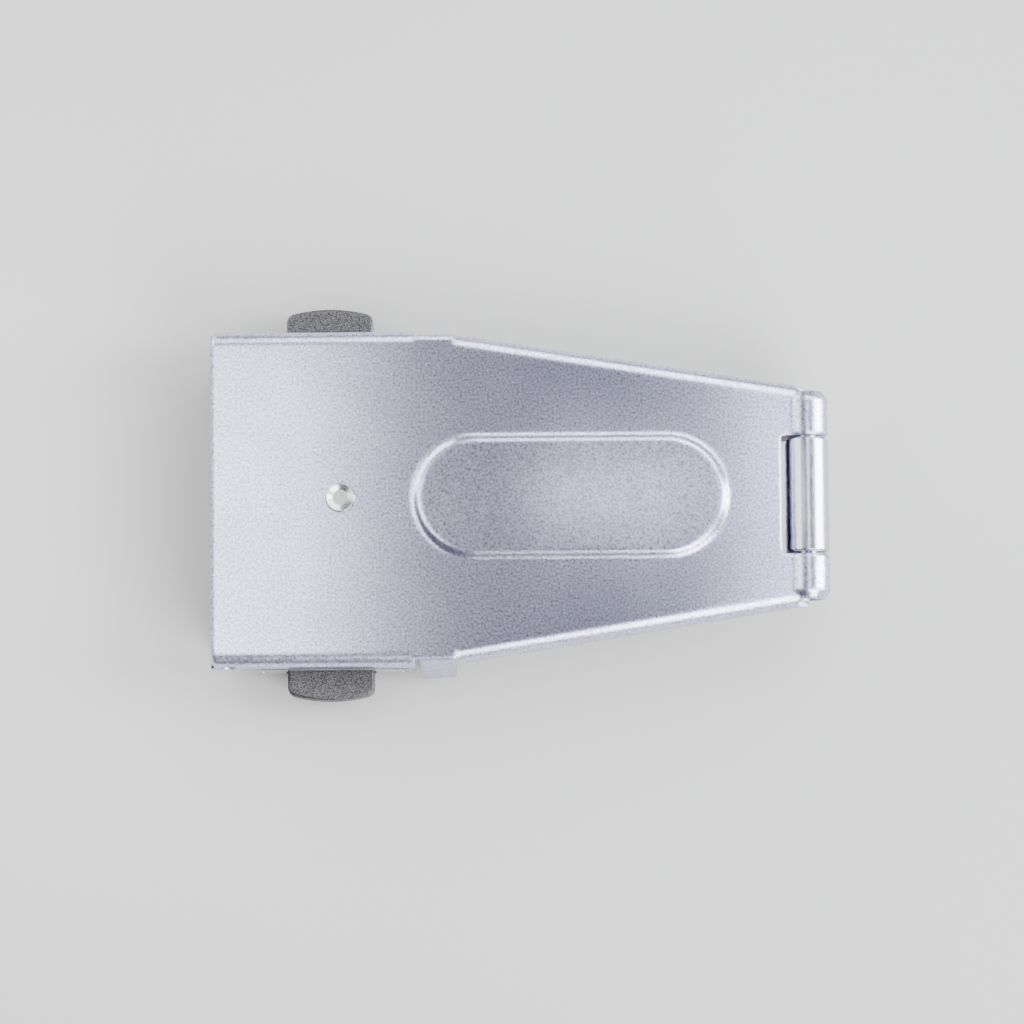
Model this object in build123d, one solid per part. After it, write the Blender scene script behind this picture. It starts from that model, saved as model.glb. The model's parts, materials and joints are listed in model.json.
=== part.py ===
from build123d import *
from math import atan2, cos, degrees, pi, sin
import os

# A closed fold-over bracelet clasp with two push buttons.
# It lies on its cover, with the wrist side up. Sizes are in millimetres.
# X runs along the bracelet, Y across it, and +Z points to the wrist.
# The origin is the middle of the box that holds the clasp, at its lowest face.

# Sheet, fits and cuts
overall_length = 33.3
sheet = 0.5
bend_radius = 0.75
snug = 0.01
running = 0.03
seam = 0.1
overrun = 1.0

# Wrist plate
head_length = 10.97
head_width = 18.18
narrow_relief = 0.25
ear_length = 1.95
wide_relief = 0.54
taper_start_inset = 0.26
taper_end_width = 11.78
flange_depth = 1.6
flange_reach = 0.6
flange_pin_gap = 0.15
lead_edge = 0.2
bridge_inset = 0.35
ear_root_inset = 0.26
ear_flare = 0.52
ear_drop = 4.4
ear_bend_radius = 0.35
ear_tip_round = 0.3
boss_from_left = 10.79
boss_length = 17.2
boss_width = 6.88
boss_height = 0.3
boss_rise_shares = (0.15, 0.7, 0.15)
boss_slope_angles = (72, 45, 72)
boss_recess_inset = 0.3

# Right hinge, between the wrist plate and the middle leaf
leaf_pin_radius = 0.6
pin_recess = 0.08
centre_knuckle_width = 6.18
knuckle_gap = 0.11
knuckle_bevel = 0.1
knuckle_rise = 0.34
knuckle_end_inset = 0.17
knuckle_end_length = 0.42
knuckle_end_drop = 0.3
slot_length = 1.45
slot_corner = 0.2

# Stack, from the cover's outer face up
cover_floor = 0.7
frame_sheet = 0.3
cavity_height = 1.5
leaf_gap = 0.48

# Cover
cover_wall = 0.55
nest_gap = 0.37
cover_inset_left = 0.25
cover_inset_right = 0.75
wall_top_gap = 0.3
wall_low_left = 2.75
wall_low_right = 2.8
low_length_left = 1.9
low_length_right = 2.0
wall_step = 1.2
wall_step_round = 0.5
cover_bevel = 0.35
end_round = 0.3

# Left hinge, between the cover and the middle leaf
cover_pin_radius = 0.4
knuckle_floor_gap = 0.15
knuckle_inset = 0.02

# Middle leaf
leaf_side_gap = 0.2
joggle_lid_gap = 0.15
joggle_length = 1.4
tongue_gap = 0.2
leaf_window_length = 8.0
leaf_window_width = 2.4
leaf_window_from_post = 12.5

# Catch post
post_from_left = 6.98
post_radius = 0.5
post_head_radius = 0.85
post_head_height = 0.65
post_nose_radius = 0.45
post_head_edge = 0.25
post_hole_gap = 0.3
collar_radius = 0.9
collar_height = 0.4
shank_radius = 0.45
staked_radius = 0.8
staked_height = 0.2
staked_bevel = 0.05
dish_rim_radius = 0.72
dish_floor_radius = 0.41
dish_depth = 0.14

# Buttons
button_width = 4.69
button_offset = -0.6
button_thickness = 1.3
button_floor_gap = 0.1
button_reach = 1.59
button_crown = 8.0
button_corner = 0.5
button_edge = 0.12
button_slide_gap = 0.08
button_stop_gap = 0.02
shoulder_width = 5.4
shoulder_length = 1.28
ledge_height = 0.75

# Hooks on the buttons
hook_sheet = 0.35
hook_gap = 0.02
hook_head_gap = 0.05
hook_stem_gap = 0.15
hook_stem_width = 0.7
hook_arm_width = 1.1
hook_arm_gap = 0.15
hook_tail_width = 5.0
hook_rivet_radius = 0.3
hook_rivet_head_radius = 0.45
rivet_head_height = 0.15

# Springs
spring_radius = 0.6
spring_wire = 0.2
spring_turns = 4
spring_steps_per_turn = 10
spring_wire_sides = 6
spring_offset = 0.9
spring_seat_from_post = 3.4
spring_seat_thickness = 0.4
spring_seat_width = 1.7

# Button frame and its lid
frame_side_gap = 0.15
frame_end_gap = 0.2
frame_tab_length = 0.8
frame_tab_width = 1.6
frame_tab_from_centre = 4.6
lug_length = 1.2
lug_from_centre = 4.6

# Guards beside the buttons
guard_length = 8.5
guard_offset = 0.18
guard_thickness = 0.9
guard_bottom = 0.6
guard_height = 2.85
guard_bevel = 0.15
guard_pin_radius = 0.25
guard_pin_inset = 0.46
guard_pin_inner_reach = 0.12
guard_pin_recess = 0.06

# Holes for the spring bars of the bracelet
bar_radius = 0.45
head_bar_from_left = 0.95
head_bar_below_top = 0.98
lug_half_length = 0.9
lug_drop = 0.35
cover_bar_from_right = 3.4
cover_bar_step = 2.6
cover_bar_count = 3
cover_bar_height = 1.85

# Levels
left_end = -overall_length / 2
frame_floor_top = cover_floor + frame_sheet
lid_bottom = frame_floor_top + cavity_height
lid_top = lid_bottom + frame_sheet
leaf_bottom = lid_top + leaf_gap
leaf_top = leaf_bottom + sheet
knuckle_radius = leaf_pin_radius + running + sheet
hinge_z = leaf_bottom + knuckle_radius
wrist_top = hinge_z + knuckle_radius - knuckle_rise
wrist_under = wrist_top - sheet
button_bottom = frame_floor_top + button_floor_gap
button_top = button_bottom + button_thickness
hook_bottom = button_bottom + ledge_height
hook_top = hook_bottom + hook_sheet
spring_z = (frame_floor_top + lid_bottom) / 2

# Places along X
hinge_x = overall_length / 2 - knuckle_radius
head_end = left_end + head_length
ear_start = head_end + narrow_relief
ear_end = ear_start + ear_length
taper_x = ear_end + wide_relief
post_x = left_end + post_from_left
button_x = post_x + button_offset
guard_x = button_x + guard_offset
cover_left = left_end + cover_inset_left
cover_right = overall_length / 2 - cover_inset_right
cover_knuckle_radius = cover_pin_radius + running + sheet
cover_hinge_x = cover_left + cover_knuckle_radius + knuckle_inset
cover_hinge_z = cover_floor + knuckle_floor_gap + cover_knuckle_radius
frame_half_length = shoulder_width / 2 + frame_side_gap + frame_sheet
frame_left = button_x - frame_half_length
frame_right = button_x + frame_half_length

# Widths and distances from the centre line, along Y
taper_start_width = head_width - 2 * taper_start_inset
bridge_half = head_width / 2 - bridge_inset
ear_root = head_width / 2 - ear_root_inset
ear_tip = ear_root + ear_flare
cover_inset = sheet + nest_gap
cover_half = head_width / 2 - cover_inset
pocket_half = cover_half - cover_wall
frame_half_width = pocket_half - frame_end_gap
leaf_half = pocket_half - leaf_side_gap
shoulder_outer = pocket_half - button_stop_gap
shoulder_inner = shoulder_outer - shoulder_length
button_tip = head_width / 2 + button_reach
hook_edge = post_head_radius + hook_gap


def block(x0, x1, y0, y1, z0, z1):
    """A box between two corners."""
    size = (x1 - x0, y1 - y0, z1 - z0)
    centre = ((x0 + x1) / 2, (y0 + y1) / 2, (z0 + z1) / 2)
    return Pos(*centre) * Box(*size)


def rod_y(x, z, radius, y0, y1):
    """A rod along Y."""
    rod = Cylinder(radius, y1 - y0)
    return Pos(x, (y0 + y1) / 2, z) * Rot(90, 0, 0) * rod


def rod_z(x, y, radius, z0, z1):
    """An upright rod."""
    return Pos(x, y, (z0 + z1) / 2) * Cylinder(radius, z1 - z0)


def taper_half(x):
    """Half the wrist plate's width at a place on its taper."""
    share = (x - taper_x) / (hinge_x - taper_x)
    width = taper_start_width + (taper_end_width - taper_start_width) * share
    return width / 2


def nested_plan(x0, x1, inset):
    """The plan of a piece that nests in the wrist plate, an inset in from its edge."""
    slope = (taper_start_width - taper_end_width) / 2 / (hinge_x - taper_x)
    knee = taper_x - (head_width - taper_start_width) / 2 / slope
    head_half = head_width / 2 - inset
    end_half = taper_half(x1) - inset
    points = [(x0, -head_half), (knee, -head_half), (x1, -end_half)]
    points += [(x, -y) for x, y in reversed(points)]
    return make_face(Polyline(*points, close=True))


def rounded_strip(half, low, high, radius):
    """A flat shape across the plate, with its two upper corners rounded."""
    face = make_face(Polyline((-half, low), (half, low), (half, high), (-half, high), close=True))
    return fillet(face.vertices().group_by(Axis.Y)[-1], radius)


def channel_section(width):
    """A folded channel across the plate: a flat top and a flange down each side."""
    low = wrist_top - flange_depth
    outer = rounded_strip(width / 2, low, wrist_top, bend_radius)
    inner = rounded_strip(width / 2 - sheet, low - overrun, wrist_under, bend_radius - sheet)
    return Plane.YZ * (outer - inner)


def plate_head():
    """The wide left end of the wrist plate, with its front edge eased."""
    head = Pos(left_end, 0, 0) * extrude(channel_section(head_width), head_length)
    front = head.edges().group_by(Axis.X)[0].group_by(Axis.Z)[-1]
    return chamfer(front, lead_edge)


def slanted_side():
    """The upper half of the narrowing part, folded along its own slanting edge."""
    end_x = hinge_x + flange_reach
    slant = atan2((taper_start_width - taper_end_width) / 2, hinge_x - taper_x)
    # A channel twice as wide reaches past the centre line, where the other half meets it.
    channel = extrude(channel_section(2 * taper_start_width), head_length + overall_length)
    channel = Pos(-head_length, -taper_start_width, 0) * channel
    channel = Pos(taper_x, taper_start_width / 2, 0) * Rot(0, 0, -degrees(slant)) * channel
    low, high = wrist_top - flange_depth - overrun, wrist_top + overrun
    keep = block(taper_x, end_x, 0, head_width, low, high)
    keep += block(head_end, taper_x, 0, bridge_half, wrist_under, high)
    return channel & keep


def plate_taper():
    """The narrowing part of the wrist plate, from its bridge to the head up to the knuckles."""
    side = slanted_side()
    taper = side + mirror(side, Plane.XZ)
    end_x = hinge_x + flange_reach
    inner = taper_half(end_x) - sheet
    taper -= block(hinge_x, end_x + overrun, -inner, inner, 0, wrist_top + overrun)
    taper -= rod_y(hinge_x, hinge_z, leaf_pin_radius + flange_pin_gap, -head_width, head_width)
    taper -= block(hinge_x, end_x + overrun, -head_width, head_width, 0, hinge_z)
    slot_half = centre_knuckle_width / 2 + knuckle_gap
    slot_left = hinge_x - slot_length
    slot = block(slot_left, end_x, -slot_half, slot_half, 0, wrist_top + overrun)
    return taper - fillet(slot.edges().filter_by(Axis.Z).group_by(Axis.X)[0], slot_corner)


def ear(side):
    """One of the two tongues that are folded down past the cover."""
    low = wrist_top - ear_drop
    inside = bridge_half - bend_radius
    outline = Polyline(
        (inside, wrist_top),
        (ear_root, wrist_top),
        (ear_tip, low),
        (ear_tip - sheet, low),
        (ear_root - sheet, wrist_under),
        (inside, wrist_under),
        close=True,
    )
    profile = make_face(outline)
    corner = profile.vertices().sort_by_distance((ear_root, wrist_top))[0]
    profile = fillet(corner, ear_bend_radius)
    solid = extrude(Plane.YZ.offset(ear_start) * profile, ear_length)
    solid = fillet(solid.edges().group_by(Axis.Z)[0].filter_by(Axis.Y), ear_tip_round)
    return solid if side > 0 else mirror(solid, Plane.XZ)


def stadium(length, width):
    """A long shape with round ends."""
    return SlotOverall(length, width)


def pressed_shape(length, width, z):
    """A low stadium whose sides rise gently, then steeply, then gently again."""
    x = left_end + boss_from_left + boss_length / 2
    face = Pos(x, 0, z) * stadium(length, width)
    shape = None
    for share, angle in zip(boss_rise_shares, boss_slope_angles):
        layer = extrude(face, boss_height * share, taper=angle)
        face = layer.faces().sort_by(Axis.Z)[-1]
        shape = layer if shape is None else shape + layer
    return shape


def add_boss(plate):
    """Press the raised boss out of the plate, with its hollow on the other side."""
    shrink = 2 * boss_recess_inset
    raised = pressed_shape(boss_length, boss_width, wrist_top)
    return plate + raised - pressed_shape(boss_length - shrink, boss_width - shrink, wrist_under)


def eased_tube(x, z, radius, half):
    """The outer form of a knuckle on the centre line, with its ends eased."""
    tube = rod_y(x, z, radius, -half, half)
    return chamfer(tube.edges().filter_by(GeomType.CIRCLE), knuckle_bevel)


def knuckle_reach():
    """How far from the centre line the wrist plate's knuckles reach."""
    return taper_half(hinge_x + flange_reach) - knuckle_end_inset


def outer_tube():
    """The outer form of a knuckle beside the centre one, with its far end tapered."""
    inner = centre_knuckle_width / 2 + knuckle_gap
    straight = knuckle_reach() - knuckle_end_length
    tube = rod_y(hinge_x, hinge_z, knuckle_radius, inner, straight)
    tube = chamfer(tube.edges().filter_by(GeomType.CIRCLE).sort_by(Axis.Y)[0], knuckle_bevel)
    cone = Cone(knuckle_radius, knuckle_radius - knuckle_end_drop, knuckle_end_length)
    middle = straight + knuckle_end_length / 2
    return tube + Pos(hinge_x, middle, hinge_z) * Rot(-90, 0, 0) * cone


def rolled_knuckle(tube, x, z, radius, bore, leaf_face, towards):
    """Bore a knuckle and cut the seam where its edge meets the sheet again."""
    tube -= rod_y(x, z, bore, -head_width, head_width)
    far = x + towards * (radius + seam)
    x0, x1 = sorted((x, far))
    z0, z1 = sorted((leaf_face, leaf_face + seam * (1 if leaf_face < z else -1)))
    return tube - block(x0, x1, -head_width, head_width, z0, z1)


def bar_lugs():
    """The deeper corners of the flanges, which carry the bracelet's spring bar."""
    x = left_end + head_bar_from_left
    low = wrist_top - flange_depth - lug_drop
    high = wrist_top - bend_radius
    lugs = []
    for side in (-1, 1):
        y0, y1 = sorted((side * head_width / 2, side * (head_width / 2 - sheet)))
        lugs.append(block(left_end, x + lug_half_length, y0, y1, low, high))
    return lugs


def wrist_plate():
    """The pressed plate on the wrist side."""
    plate = plate_head() + plate_taper()
    for side in (-1, 1):
        plate += ear(side)
    for lug in bar_lugs():
        plate += lug
    plate = add_boss(plate)
    bore = leaf_pin_radius + snug
    knuckle = rolled_knuckle(outer_tube(), hinge_x, hinge_z, knuckle_radius, bore, wrist_under, -1)
    plate += knuckle
    plate += mirror(knuckle, Plane.XZ)
    plate -= rod_y(hinge_x, hinge_z, bore, -head_width, head_width)
    plate -= rod_z(post_x, 0, shank_radius + snug, wrist_under - overrun, wrist_top + overrun)
    bar_x = left_end + head_bar_from_left
    bar_z = wrist_top - head_bar_below_top
    half = head_width / 2 + overrun
    return plate - rod_y(bar_x, bar_z, bar_radius, -half, half)


def leaf_hinge_pin():
    """The pin of the right hinge, held in the wrist plate's knuckles."""
    end = knuckle_reach() - pin_recess
    return rod_y(hinge_x, hinge_z, leaf_pin_radius, -end, end)


def catch_post():
    """The headed post that the hooks hold, staked through the wrist plate."""
    head_top = hook_bottom - hook_head_gap
    head_low = head_top - post_head_height
    collar_low = wrist_under - collar_height
    staked_top = wrist_top + staked_height
    profile = Polyline(
        (0, head_low),
        (post_nose_radius, head_low),
        (post_head_radius, head_top - post_head_edge),
        (post_head_radius, head_top),
        (post_radius, head_top),
        (post_radius, collar_low),
        (collar_radius, collar_low),
        (collar_radius, wrist_under),
        (shank_radius, wrist_under),
        (shank_radius, wrist_top),
        (staked_radius, wrist_top),
        (staked_radius, staked_top),
        (dish_rim_radius, staked_top),
        (dish_floor_radius, staked_top - dish_depth),
        (0, staked_top - dish_depth),
        close=True,
    )
    face = make_face(profile)
    rim = face.vertices().sort_by_distance((staked_radius, staked_top))[0]
    face = chamfer(rim, staked_bevel)
    return Pos(post_x, 0, 0) * revolve(Plane.XZ * face, Axis.Z)


def middle_leaf():
    """The hidden leaf that joins the two hinges."""
    joggle_start = frame_left - joggle_lid_gap
    joggle_end = joggle_start - joggle_length
    low_top = cover_hinge_z + cover_knuckle_radius
    low_under = low_top - sheet
    outline = Polyline(
        (hinge_x, leaf_bottom),
        (hinge_x, leaf_top),
        (joggle_start, leaf_top),
        (joggle_end, low_top),
        (cover_hinge_x, low_top),
        (cover_hinge_x, low_under),
        (joggle_end, low_under),
        (joggle_start, leaf_bottom),
        close=True,
    )
    side = Plane.XZ * make_face(outline)
    strip = extrude(side, leaf_half, both=True)
    shoulder_x = hinge_x - knuckle_radius - tongue_gap
    plan = nested_plan(cover_hinge_x, shoulder_x, cover_inset + cover_wall + leaf_side_gap)
    tongue_half = centre_knuckle_width / 2
    tongue = block(shoulder_x - overrun, hinge_x, -tongue_half, tongue_half, 0, wrist_top)
    leaf = strip & (extrude(plan, wrist_top) + tongue)
    bore = leaf_pin_radius + running
    tube = eased_tube(hinge_x, hinge_z, knuckle_radius, tongue_half)
    leaf += rolled_knuckle(tube, hinge_x, hinge_z, knuckle_radius, bore, leaf_top, -1)
    leaf -= rod_y(hinge_x, hinge_z, bore, -head_width, head_width)
    bore = cover_pin_radius + running
    radius = cover_knuckle_radius
    tube = eased_tube(cover_hinge_x, cover_hinge_z, radius, leaf_half)
    leaf += rolled_knuckle(tube, cover_hinge_x, cover_hinge_z, radius, bore, low_under, 1)
    leaf -= rod_y(cover_hinge_x, cover_hinge_z, bore, -head_width, head_width)
    leaf -= rod_z(post_x, 0, post_head_radius + post_hole_gap, 0, wrist_top)
    window_x = post_x + leaf_window_from_post
    window = Pos(window_x, 0, 0) * stadium(leaf_window_length, leaf_window_width)
    return leaf - extrude(window, wrist_top)


def cover_side():
    """The cover seen from the side: its walls are low at both ends."""
    high = wrist_under - wall_top_gap
    left_step = cover_left + low_length_left
    right_step = cover_right - low_length_right
    outline = Polyline(
        (cover_left, 0),
        (cover_right, 0),
        (cover_right, wall_low_right),
        (right_step, wall_low_right),
        (right_step - wall_step, high),
        (left_step + wall_step, high),
        (left_step, wall_low_left),
        (cover_left, wall_low_left),
        close=True,
    )
    face = make_face(outline)
    steps = [
        (right_step, wall_low_right),
        (right_step - wall_step, high),
        (left_step + wall_step, high),
        (left_step, wall_low_left),
    ]
    for point in steps:
        face = fillet(face.vertices().sort_by_distance(point)[0], wall_step_round)
    for point in ((cover_right, wall_low_right), (cover_left, wall_low_left)):
        face = fillet(face.vertices().sort_by_distance(point)[0], end_round)
    return extrude(Plane.XZ * face, head_width, both=True)


def cover_bar_places():
    """Where the bracelet's spring bar can sit in the cover."""
    first = cover_right - cover_bar_from_right
    return [first - cover_bar_step * n for n in range(cover_bar_count)]


def frame_tab_places():
    """The middles of the four tabs that hold the button frame on the cover."""
    half = frame_tab_length / 2
    xs = (frame_left - half, frame_right + half)
    ys = (-frame_tab_from_centre, frame_tab_from_centre)
    return [(x, y) for x in xs for y in ys]


def guard_pin_places():
    """The two pins of a guard, along X."""
    half = guard_length / 2 - guard_pin_inset
    return (guard_x - half, guard_x + half)


def button_window(y0, y1):
    """The opening that a button slides through."""
    half = button_width / 2 + button_slide_gap
    low = button_bottom - button_slide_gap
    high = button_top + button_slide_gap
    return block(button_x - half, button_x + half, y0, y1, low, high)


def runs_lengthwise(edge):
    """Whether an edge runs more along the bracelet than across it."""
    direction = edge.tangent_at(0)
    return abs(direction.X) > abs(direction.Y)


def cover_shell():
    """The outer tray, with its walls inside the wrist plate's flanges."""
    plan = nested_plan(cover_left, cover_right, cover_inset)
    shell = extrude(plan, wrist_top)
    lowest = shell.edges().group_by(Axis.Z)[0]
    shell = chamfer(lowest.filter_by(runs_lengthwise), cover_bevel)
    shell &= cover_side()
    pocket = nested_plan(cover_left - overrun, cover_right + overrun, cover_inset + cover_wall)
    shell -= extrude(Pos(0, 0, cover_floor) * pocket, wrist_top)
    reach = head_width
    shell -= rod_y(cover_hinge_x, cover_hinge_z, cover_pin_radius + snug, -reach, reach)
    shell -= button_window(-reach, reach)
    guard_mid = guard_bottom + guard_height / 2
    for x in guard_pin_places():
        shell -= rod_y(x, guard_mid, guard_pin_radius + snug, -reach, reach)
    for x in cover_bar_places():
        shell -= rod_y(x, cover_bar_height, bar_radius, -reach, reach)
    return shell


def cover_hinge_pin():
    """The pin of the left hinge, held in the cover's walls."""
    end = cover_half - pin_recess
    return rod_y(cover_hinge_x, cover_hinge_z, cover_pin_radius, -end, end)


def frame_walls():
    """Where the frame's two cross walls lie along X."""
    return ((frame_left, frame_left + frame_sheet), (frame_right - frame_sheet, frame_right))


def button_frame():
    """The channel that guides the buttons, with its spring seats and tabs."""
    half = frame_half_width
    frame = block(frame_left, frame_right, -half, half, cover_floor, frame_floor_top)
    for x0, x1 in frame_walls():
        frame += block(x0, x1, -half, half, cover_floor, lid_bottom)
        for side in (-1, 1):
            y = side * lug_from_centre
            frame += block(x0, x1, y - lug_length / 2, y + lug_length / 2, lid_bottom, lid_top)
    seat_back = spring_seat_from_post - spring_seat_thickness
    for side in (-1, 1):
        x = spring_x(side)
        y0, y1 = sorted((side * spring_seat_from_post, side * seat_back))
        width = spring_seat_width / 2
        frame += block(x - width, x + width, y0, y1, cover_floor, lid_bottom)
    for x, y in frame_tab_places():
        dx = frame_tab_length / 2
        dy = frame_tab_width / 2
        frame += block(x - dx, x + dx, y - dy, y + dy, cover_floor, frame_floor_top)
    return frame


def frame_lid():
    """The lid of the button frame, with the hole for the post."""
    half = frame_half_width
    low, high = lid_bottom - overrun, lid_top + overrun
    reach = lug_length / 2 + snug
    lid = block(frame_left, frame_right, -half, half, lid_bottom, lid_top)
    for x0, x1 in frame_walls():
        for side in (-1, 1):
            y = side * lug_from_centre
            lid -= block(x0 - snug, x1 + snug, y - reach, y + reach, low, high)
    return lid - rod_z(post_x, 0, post_head_radius + post_hole_gap, low, high)


def headed_rivet(x, y, radius, head_radius, z0, z1):
    """A rivet with its head on top."""
    return rod_z(x, y, radius, z0, z1) + rod_z(x, y, head_radius, z1, z1 + rivet_head_height)


def guard(side):
    """The bracket beside a button, outside the cover's wall."""
    x0, x1 = guard_x - guard_length / 2, guard_x + guard_length / 2
    y0, y1 = sorted((side * cover_half, side * (cover_half + guard_thickness)))
    solid = block(x0, x1, y0, y1, guard_bottom, guard_bottom + guard_height)
    outer = solid.faces().sort_by(Axis.Y)[-1 if side > 0 else 0]
    solid = chamfer(outer.edges(), guard_bevel)
    solid -= button_window(y0 - overrun, y1 + overrun)
    for x in guard_pin_places():
        z = guard_bottom + guard_height / 2
        solid -= rod_y(x, z, guard_pin_radius + snug, y0 - overrun, y1 + overrun)
    return solid


def guard_pins():
    """The pins that hold the guards to the cover's walls."""
    inner = pocket_half - guard_pin_inner_reach
    outer = cover_half + guard_thickness - guard_pin_recess
    z = guard_bottom + guard_height / 2
    pins = []
    for side in (-1, 1):
        y0, y1 = sorted((side * inner, side * outer))
        pins += [rod_y(x, z, guard_pin_radius, y0, y1) for x in guard_pin_places()]
    return pins


def button(side):
    """A push button: a bar with a crowned end, and a shoulder with a ledge for the hook."""
    half = button_width / 2
    crown_drop = button_crown - (button_crown**2 - half**2) ** 0.5
    edge_y = button_tip - crown_drop
    left, right = button_x - half, button_x + half
    sides = Polyline((left, edge_y), (left, shoulder_outer), (right, shoulder_outer), (right, edge_y))
    crown = ThreePointArc((right, edge_y), (button_x, button_tip), (left, edge_y))
    face = make_face(sides + crown)
    face = fillet(face.vertices().group_by(Axis.Y)[-1], button_corner)
    bar = extrude(Pos(0, 0, button_bottom) * face, button_thickness)
    flats = bar.faces().filter_by(Axis.Z)
    rims = [edge for edge in flats.edges() if edge.center().Y > shoulder_outer + snug]
    bar = chamfer(rims, button_edge)
    left, right = button_x - shoulder_width / 2, button_x + shoulder_width / 2
    bar += block(left, right, shoulder_inner, shoulder_outer, button_bottom, hook_bottom)
    rivet_y = (shoulder_inner + shoulder_outer) / 2
    bar -= rod_z(button_x, rivet_y, hook_rivet_radius + snug, button_bottom - overrun, button_top + overrun)
    return bar if side > 0 else mirror(bar, Plane.XZ)


def hook(side):
    """The catch plate of a button: it passes the post and turns behind it."""
    near = post_head_radius + hook_stem_gap
    far = near + hook_stem_width
    arm_low = -hook_edge - hook_arm_width
    tip = near - hook_arm_gap
    tail_end = shoulder_outer - snug
    x0, x1 = sorted((post_x + side * near, post_x + side * far))
    plate = block(x0, x1, arm_low, tail_end, hook_bottom, hook_top)
    x0, x1 = sorted((post_x - side * tip, post_x + side * far))
    plate += block(x0, x1, arm_low, -hook_edge, hook_bottom, hook_top)
    x0, x1 = button_x - hook_tail_width / 2, button_x + hook_tail_width / 2
    plate += block(x0, x1, shoulder_inner, tail_end, hook_bottom, hook_top)
    rivet_y = (shoulder_inner + shoulder_outer) / 2
    plate -= rod_z(button_x, rivet_y, hook_rivet_radius + snug, hook_bottom - overrun, hook_top + overrun)
    return plate if side > 0 else mirror(plate, Plane.XZ)


def hook_rivet(side):
    """The rivet that holds a hook to its button."""
    y = side * (shoulder_inner + shoulder_outer) / 2
    return headed_rivet(button_x, y, hook_rivet_radius, hook_rivet_head_radius, button_bottom, hook_top)


def spring_x(side):
    """Where a button's spring lies along X, on the free side of the post."""
    return post_x - side * spring_offset


def spring(side):
    """A compression spring between its seat and the button's shoulder."""
    radius = spring_radius - spring_wire / 2
    inner = spring_seat_from_post + spring_wire / 2 + snug
    length = shoulder_inner - spring_seat_from_post - spring_wire - 2 * snug
    steps = spring_turns * spring_steps_per_turn
    points = []
    for n in range(steps + 1):
        angle = 2 * pi * n / spring_steps_per_turn
        points.append((radius * cos(angle), radius * sin(angle), length * n / steps))
    path = Polyline(*points)
    section = Plane(origin=path @ 0, z_dir=path % 0) * RegularPolygon(spring_wire / 2, spring_wire_sides)
    wire = sweep(section, path=path, transition=Transition.RIGHT)
    turn = Rot(-90, 0, 0) if side > 0 else Rot(90, 0, 0)
    return Pos(spring_x(side), side * inner, spring_z) * turn * wire


def write_parts():
    """Write one file for each piece."""
    pieces = {
        "cover_shell": cover_shell(),
        "cover_hinge_pin": cover_hinge_pin(),
        "button_frame": button_frame(),
        "frame_lid": frame_lid(),
        "guard_pins": Compound(children=guard_pins()),
        "middle_leaf": middle_leaf(),
        "wrist_plate": wrist_plate(),
        "catch_post": catch_post(),
        "leaf_hinge_pin": leaf_hinge_pin(),
    }
    for name, side in (("upper", 1), ("lower", -1)):
        pieces[f"{name}_guard"] = guard(side)
        pieces[f"{name}_button"] = button(side)
        pieces[f"{name}_hook"] = hook(side)
        pieces[f"{name}_hook_rivet"] = hook_rivet(side)
        pieces[f"{name}_spring"] = spring(side)
    os.makedirs("parts", exist_ok=True)
    for name, piece in pieces.items():
        export_step(piece, f"parts/{name}.step")


write_parts()
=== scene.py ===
import json
import math

import bpy
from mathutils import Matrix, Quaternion, Vector

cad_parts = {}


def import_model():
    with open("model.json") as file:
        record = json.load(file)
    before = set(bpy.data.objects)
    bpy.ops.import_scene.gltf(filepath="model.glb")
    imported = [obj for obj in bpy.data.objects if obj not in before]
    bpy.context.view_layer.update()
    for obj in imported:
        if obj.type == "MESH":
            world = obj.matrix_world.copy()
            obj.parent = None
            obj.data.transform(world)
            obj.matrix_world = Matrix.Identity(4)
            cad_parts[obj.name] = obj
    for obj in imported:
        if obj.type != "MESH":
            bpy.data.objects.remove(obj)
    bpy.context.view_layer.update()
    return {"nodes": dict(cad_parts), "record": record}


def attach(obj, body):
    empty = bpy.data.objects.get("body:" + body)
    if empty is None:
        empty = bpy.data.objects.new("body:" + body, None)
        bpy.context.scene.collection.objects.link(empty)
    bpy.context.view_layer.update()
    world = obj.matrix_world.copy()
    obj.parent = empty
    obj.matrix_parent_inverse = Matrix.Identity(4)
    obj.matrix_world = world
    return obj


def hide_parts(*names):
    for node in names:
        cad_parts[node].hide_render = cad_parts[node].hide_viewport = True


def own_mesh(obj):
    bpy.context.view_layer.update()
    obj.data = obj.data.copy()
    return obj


# A closed fold-over bracelet clasp, dressed over its CAD pieces. Lengths are in metres, except where a
# comment says millimetres.
MM = 0.001

# The lens and the sensor are in millimetres, the angles in degrees.
LENS = 196.2
SENSOR = 36.0
CAMERA_CLIP = (0.01, 10)
CAMERA_DISTANCE = 0.3
CAMERA_ELEVATION = 83.2
CAMERA_ROLL = -0.45
AIM = Vector((-0.43, -0.85, 5.2)) * MM

FLOOR_SIZE = 0.9
FLOOR_HEIGHT = -0.01 * MM
FLOOR_COLOUR = (0.5, 0.5, 0.495, 1)
FLOOR_ROUGHNESS = 0.8

ROOM_COLOUR = (0.86, 0.91, 1.0, 1)
ROOM_STRENGTH = 0.14

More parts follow.
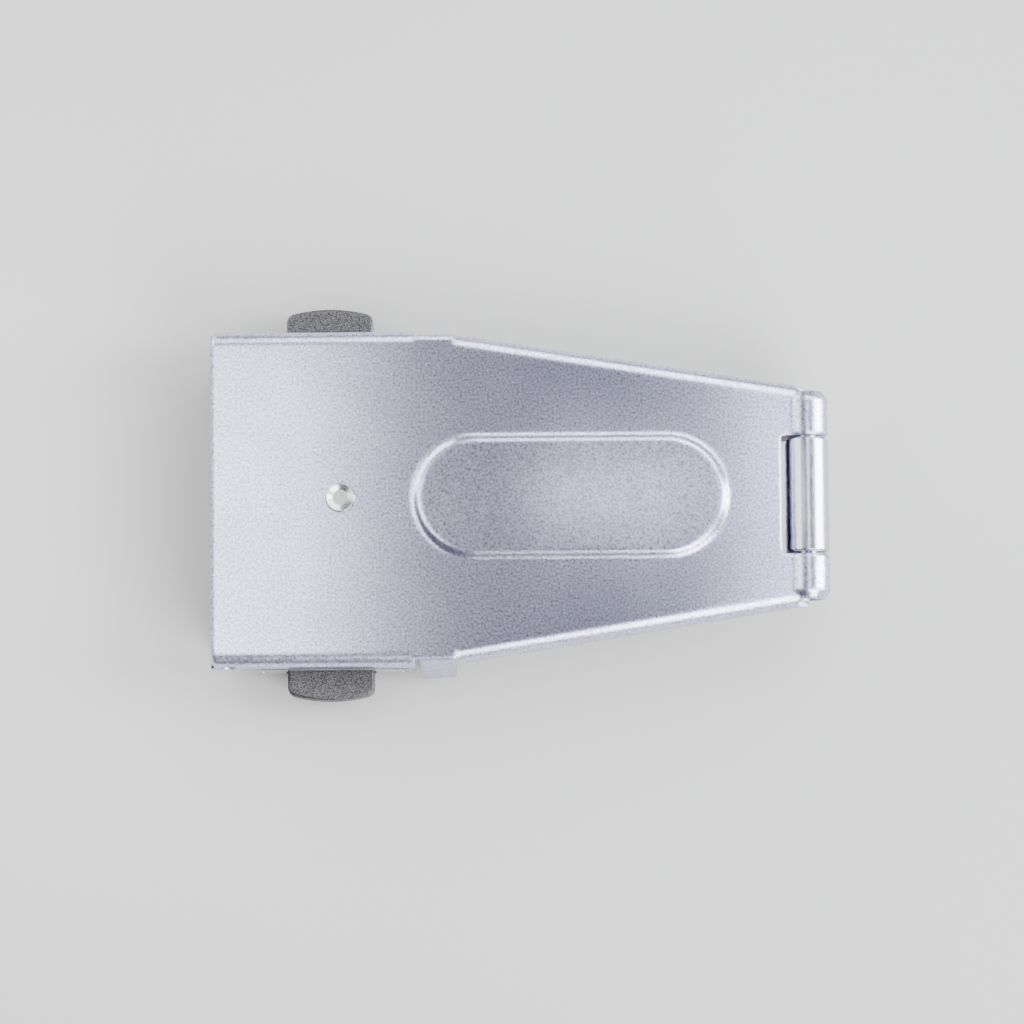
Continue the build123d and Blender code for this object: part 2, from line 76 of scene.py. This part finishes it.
# Each soft box: its place, the point that it faces and its width and height, all in millimetres, then
# its power in watts and its colour.
LIGHTS = {
    "left_box": ((-38, 1, 38), (-38, 1, 0), (54, 30), 0.022, (1, 0.995, 0.985)),
    "right_box": ((16, 7, 30), (16, 7, 0), (4, 80), 0.0052, (0.88, 0.93, 1)),
    "back_box": ((90, 184, 174), (0, 0, 0), (260, 200), 1.0, (0.95, 0.97, 1)),
    "front_box": ((120, -180, 150), (0, 0, 0), (180, 200), 1.5, (1, 1, 1)),
    "side_box": ((270, 20, 130), (0, 0, 0), (110, 240), 1.8, (1, 1, 1)),
    "low_box": ((-200, 170, 70), (0, 0, 0), (300, 110), 0.8, (1, 1, 1)),
    "boss_box": ((5.4, 2.4, 25), (5.4, 2.4, 0), (9, 4), 0.00027, (0.95, 0.97, 1)),
}

# What the steels share. A range is the part of a noise's values that is spread over a whole change of
# tone or roughness. Bump depths are in millimetres.
NOISE_ROUGHNESS = 0.6
CLOUD_SCALE = 260.0
CLOUD_DETAIL = 4.0
CLOUD_RANGE = (0.3, 0.7)
CLOUD_DARK, CLOUD_LIGHT = 0.9, 1.06
GRAIN_DETAIL = 3.0
GRAIN_DEPTH = 0.02
SPECK_RANGE = (0.36, 0.64)
ROUGHNESS_RANGE = (0.3, 0.7)
BEVEL_SAMPLES = 6

# The scratches of the steels that have any: for each set its angle in degrees, and the height of the
# noise above which a crest shows.
SCRATCH_SETS = ((38, 0.73), (-52, 0.74), (8, 0.735))
SCRATCH_SCALE = 5200.0
SCRATCH_DETAIL = 1.0
SCRATCH_ROUGHNESS = 0.5
SCRATCH_STRETCH = (0.05, 1, 1)
SCRATCH_FADE = 0.05
SCRATCH_DEPTH = 0.01

# The sockets of a Mix node that mixes colours, by their index.
MIX_SHARE, MIX_FIRST, MIX_SECOND, MIX_RESULT = 0, 6, 7, 2

# One steel for each material slot of the record. rough is the mean roughness and spread what the grain
# adds to it or takes off. grain is the grain's scale, stretch draws it out along the axis with the small
# number, bump is its strength and contrast its change of tone. scratched is the scratches' strength, and
# round_edge the radius in millimetres to which edges are softened in the shading.
STEELS = {
    "plate_steel": dict(name="satin_plate", colour=(0.59, 0.575, 0.78), rough=0.28, spread=0.01,
                        grain=7500.0, bump=0.015, contrast=0.36, round_edge=0.3),
    "post_steel": dict(name="staked_post", colour=(0.52, 0.52, 0.54), rough=0.26,
                       grain=12000.0, bump=0.05, scratched=0.05, round_edge=0.02),
    "button_steel": dict(name="matt_button", colour=(0.112, 0.11, 0.117), rough=0.5,
                         grain=13000.0, bump=0.6, contrast=0.75, scratched=0.1),
    "guard_steel": dict(name="polished_guard", colour=(0.66, 0.66, 0.67), rough=0.2,
                        grain=9000.0, stretch=(0.1, 1, 1), bump=0.1, scratched=0.1),
    "leaf_steel": dict(name="rolled_leaf", colour=(0.58, 0.58, 0.68), rough=0.26,
                       grain=9000.0, stretch=(1, 0.12, 1), bump=0.03, scratched=0.03),
    "cover_steel": dict(name="brushed_cover", colour=(0.58, 0.58, 0.6), rough=0.34,
                        grain=11000.0, stretch=(0.03, 1, 1), bump=0.35, scratched=0.12),
    "frame_steel": dict(name="pressed_sheet", colour=(0.55, 0.55, 0.56), rough=0.38,
                        grain=8000.0, stretch=(1, 0.2, 1), bump=0.3, scratched=0.1),
    "pin_steel": dict(name="drawn_pin", colour=(0.6, 0.6, 0.61), rough=0.25,
                      grain=12000.0, stretch=(1, 0.05, 1), bump=0.12, scratched=0.05, round_edge=0.03),
    "spring_steel": dict(name="spring_wire", colour=(0.42, 0.42, 0.43), rough=0.32,
                         grain=12000.0, stretch=(1, 0.2, 1), bump=0.14, scratched=0.05, round_edge=0.02),
}


def node(tree, kind, **values):
    """A shader node with its settings and its unlinked inputs."""
    made = tree.nodes.new(kind)
    for name, value in values.items():
        if hasattr(made, name):
            setattr(made, name, value)
        else:
            made.inputs[name].default_value = value
    return made


def noise(tree, scale, detail, roughness, **mapping_values):
    """The value of a noise in the piece's own coordinates, turned and stretched by a mapping."""
    place = node(tree, "ShaderNodeTexCoord")
    mapping = node(tree, "ShaderNodeMapping", **mapping_values)
    made = node(tree, "ShaderNodeTexNoise", Scale=scale, Detail=detail, Roughness=roughness)
    tree.links.new(place.outputs["Object"], mapping.inputs["Vector"])
    tree.links.new(mapping.outputs["Vector"], made.inputs["Vector"])
    return made.outputs["Fac"]


def ramp(tree, source, low, high, start, end):
    """Map a texture's values from start to end onto the range from low to high."""
    step = node(tree, "ShaderNodeMapRange")
    step.inputs["From Min"].default_value = start
    step.inputs["From Max"].default_value = end
    step.inputs["To Min"].default_value = low
    step.inputs["To Max"].default_value = high
    tree.links.new(source, step.inputs["Value"])
    return step.outputs["Result"]


def mixed(tree, blend, share, first, second):
    """Mix two colours by a share. Each of the three is a value or the socket that gives it."""
    mix = node(tree, "ShaderNodeMix", data_type="RGBA", blend_type=blend)
    for index, value in ((MIX_SHARE, share), (MIX_FIRST, first), (MIX_SECOND, second)):
        if isinstance(value, bpy.types.NodeSocket):
            tree.links.new(value, mix.inputs[index])
        else:
            mix.inputs[index].default_value = value
    return mix.outputs[MIX_RESULT]


def bumped(tree, height, normal, strength, depth, sunk=False):
    """A normal bumped by a height, in millimetres at full strength."""
    bump = node(tree, "ShaderNodeBump", Strength=strength, Distance=depth * MM)
    bump.invert = sunk
    tree.links.new(height, bump.inputs["Height"])
    tree.links.new(normal, bump.inputs["Normal"])
    return bump.outputs["Normal"]


def scratches(tree, angle, threshold):
    """Fine straight scratches: the thin crests of a noise drawn out along one direction."""
    turn = (0, 0, math.radians(angle))
    crests = noise(tree, SCRATCH_SCALE, SCRATCH_DETAIL, SCRATCH_ROUGHNESS, Rotation=turn,
                   Scale=SCRATCH_STRETCH)
    return ramp(tree, crests, 0, 1, threshold, threshold + SCRATCH_FADE)


def steel_colour(tree, colour, fine, contrast):
    """The colour in cloudy tones, with a speck of the fine grain over them."""
    cloud = noise(tree, CLOUD_SCALE, CLOUD_DETAIL, NOISE_ROUGHNESS)
    share = ramp(tree, cloud, 0, 1, *CLOUD_RANGE)
    dark = (*(part * CLOUD_DARK for part in colour), 1)
    light = (*(part * CLOUD_LIGHT for part in colour), 1)
    base = mixed(tree, "MIX", share, dark, light)
    tone = ramp(tree, fine, 1 - contrast, 1 + contrast, *SPECK_RANGE)
    return mixed(tree, "MULTIPLY", 1.0, base, tone)


def metal(name, colour, rough, grain, bump, stretch=(1, 1, 1), scratched=0.0, round_edge=0.05,
          contrast=0.07, spread=0.05):
    """A stainless steel: cloudy tone, a fine grain or brushing, a few scratches and softened edges."""
    made = bpy.data.materials.new(name)
    made.use_nodes = True
    tree = made.node_tree
    tree.nodes.clear()
    out = node(tree, "ShaderNodeOutputMaterial")
    skin = node(tree, "ShaderNodeBsdfPrincipled", Metallic=1.0)
    fine = noise(tree, grain, GRAIN_DETAIL, NOISE_ROUGHNESS, Scale=stretch)
    edge = node(tree, "ShaderNodeBevel", samples=BEVEL_SAMPLES, Radius=round_edge * MM)
    normal = bumped(tree, fine, edge.outputs["Normal"], bump, GRAIN_DEPTH)
    if scratched:
        for angle, threshold in SCRATCH_SETS:
            crests = scratches(tree, angle, threshold)
            normal = bumped(tree, crests, normal, scratched, SCRATCH_DEPTH, sunk=True)
    shine = ramp(tree, fine, rough - spread, rough + spread, *ROUGHNESS_RANGE)
    tree.links.new(steel_colour(tree, colour, fine, contrast), skin.inputs["Base Color"])
    tree.links.new(shine, skin.inputs["Roughness"])
    tree.links.new(normal, skin.inputs["Normal"])
    tree.links.new(skin.outputs["BSDF"], out.inputs["Surface"])
    return made


def floor_material():
    """A plain pale table."""
    made = bpy.data.materials.new("pale_table")
    made.use_nodes = True
    skin = made.node_tree.nodes["Principled BSDF"]
    skin.inputs["Base Color"].default_value = FLOOR_COLOUR
    skin.inputs["Roughness"].default_value = FLOOR_ROUGHNESS
    return made


def add_floor():
    """The table that the clasp lies on."""
    half = FLOOR_SIZE / 2
    mesh = bpy.data.meshes.new("table")
    corners = [(-half, -half, 0), (half, -half, 0), (half, half, 0), (-half, half, 0)]
    mesh.from_pydata(corners, [], [(0, 1, 2, 3)])
    table = bpy.data.objects.new("table", mesh)
    table.location.z = FLOOR_HEIGHT
    mesh.materials.append(floor_material())
    bpy.context.scene.collection.objects.link(table)


def add_light(name, place, aim, size, power, colour):
    """A soft rectangular light that the camera doesn't see."""
    data = bpy.data.lights.new(name, "AREA")
    data.shape = "RECTANGLE"
    data.size, data.size_y = (side * MM for side in size)
    data.energy = power
    data.color = colour
    lamp = bpy.data.objects.new(name, data)
    lamp.location = Vector(place) * MM
    lamp.rotation_mode = "QUATERNION"
    lamp.rotation_quaternion = (Vector(aim) - Vector(place)).to_track_quat("-Z", "Y")
    lamp.visible_camera = False
    bpy.context.scene.collection.objects.link(lamp)


def add_lights():
    """Two soft boxes close above the ends, a small one above the boss, four further off, a dim room."""
    for name, values in LIGHTS.items():
        add_light(name, *values)
    world = bpy.data.worlds.new("room")
    world.use_nodes = True
    back = world.node_tree.nodes["Background"]
    back.inputs["Color"].default_value = ROOM_COLOUR
    back.inputs["Strength"].default_value = ROOM_STRENGTH
    bpy.context.scene.world = world


def add_camera():
    """The camera of the photograph: almost straight above, from the lower side."""
    data = bpy.data.cameras.new("camera")
    data.lens = LENS
    data.sensor_width = SENSOR
    data.clip_start, data.clip_end = CAMERA_CLIP
    camera = bpy.data.objects.new("camera", data)
    rise = math.radians(CAMERA_ELEVATION)
    back = Vector((0, -math.cos(rise), math.sin(rise)))
    camera.location = AIM + back * CAMERA_DISTANCE
    camera.rotation_mode = "QUATERNION"
    roll = Quaternion((0, 0, 1), math.radians(CAMERA_ROLL))
    camera.rotation_quaternion = (-back).to_track_quat("-Z", "Y") @ roll
    bpy.context.scene.collection.objects.link(camera)
    bpy.context.scene.camera = camera


def dress(frame):
    """Give each CAD node the finish of its record slot."""
    steels = {slot: metal(**finish) for slot, finish in STEELS.items()}
    for piece in frame["record"]["subparts"]:
        shown = frame["nodes"][piece["node"]]
        shown.data.materials.clear()
        shown.data.materials.append(steels[piece["material_slot"]])


def add_coils(frame):
    """Copies of the coils that the joints deform, each with its own mesh on the cover's body, in place
    of the rigid coils.
    """
    for joint in frame["record"]["behaviour"]["joints"]:
        for entry in joint.get("deforming_nodes", []):
            rigid = frame["nodes"][entry["node"]]
            coil = bpy.data.objects.new(entry["node"] + "_coil", rigid.data.copy())
            coil.matrix_world = rigid.matrix_world.copy()
            bpy.context.scene.collection.objects.link(coil)
            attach(coil, "cover")
            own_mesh(coil)
            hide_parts(entry["node"])


def main():
    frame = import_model()
    add_camera()
    add_floor()
    add_lights()
    dress(frame)
    add_coils(frame)


main()
